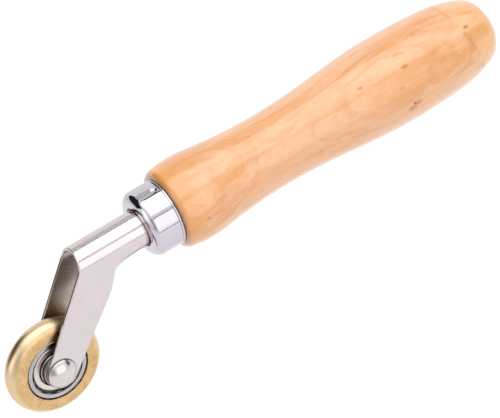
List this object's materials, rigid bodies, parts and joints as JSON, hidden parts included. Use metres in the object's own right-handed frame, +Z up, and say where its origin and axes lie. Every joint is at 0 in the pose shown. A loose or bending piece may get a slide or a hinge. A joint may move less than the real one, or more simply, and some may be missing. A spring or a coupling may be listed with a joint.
{
  "type": "hand seam roller",
  "caption": "Hand seam roller: a turned wooden handle and a folded steel fork carrying a narrow brass roller that spins on a shielded ball bearing.",
  "frame": {"origin": "the point under the axle where the roller touches its work, on the mirror plane between the two legs", "axes": "+X along the handle's axis towards its butt, +Y across the tool along the axle, +Z up, away from the work"},
  "size_m": [0.2038, 0.0322, 0.0642],
  "materials": {
    "varnished_wood": "clear varnished pale beech",
    "ferrule_plate": "bright plated",
    "fork_steel": "satin nickel plated",
    "rivet_steel": "polished",
    "spacer_steel": "turned",
    "ring_steel": "ground bearing steel",
    "roller_brass": "turned satin",
    "shield_steel": "pressed, satin",
    "spring_wire": "drawn wire",
    "ball_steel": "polished",
    "cage_steel": "pressed"
  },
  "bodies": {
    "handle_and_fork": {"handle": "varnished_wood", "ferrule": "ferrule_plate", "fork": "fork_steel", "axle_rivet": "rivet_steel", "axle_spacer_left": "spacer_steel", "axle_spacer_right": "spacer_steel", "bearing_inner_ring": "ring_steel"},
    "roller": {"brass_roller": "roller_brass", "bearing_outer_ring": "ring_steel", "bearing_shield_left": "shield_steel", "bearing_shield_right": "shield_steel", "shield_snap_ring_left": "spring_wire", "shield_snap_ring_right": "spring_wire"},
    "ball_set": {"bearing_ball_1": "ball_steel", "bearing_ball_2": "ball_steel", "bearing_ball_3": "ball_steel", "bearing_ball_4": "ball_steel", "bearing_ball_5": "ball_steel", "bearing_ball_6": "ball_steel", "bearing_ball_7": "ball_steel", "bearing_cage_left": "cage_steel", "bearing_cage_right": "cage_steel"}
  },
  "joints": [
    {"name": "roller_spin", "type": "hinge", "parent": "handle_and_fork", "child": "roller", "pos_m": [0, 0, 0.0172], "axis": [0, 1, 0], "continuous": true},
    {"name": "ball_set_spin", "type": "hinge", "parent": "handle_and_fork", "child": "ball_set", "pos_m": [0, 0, 0.0172], "axis": [0, 1, 0], "continuous": true}
  ],
  "couplings": [
    {"joint": "ball_set_spin", "follows": "roller_spin", "ratio": 0.6323}
  ]
}
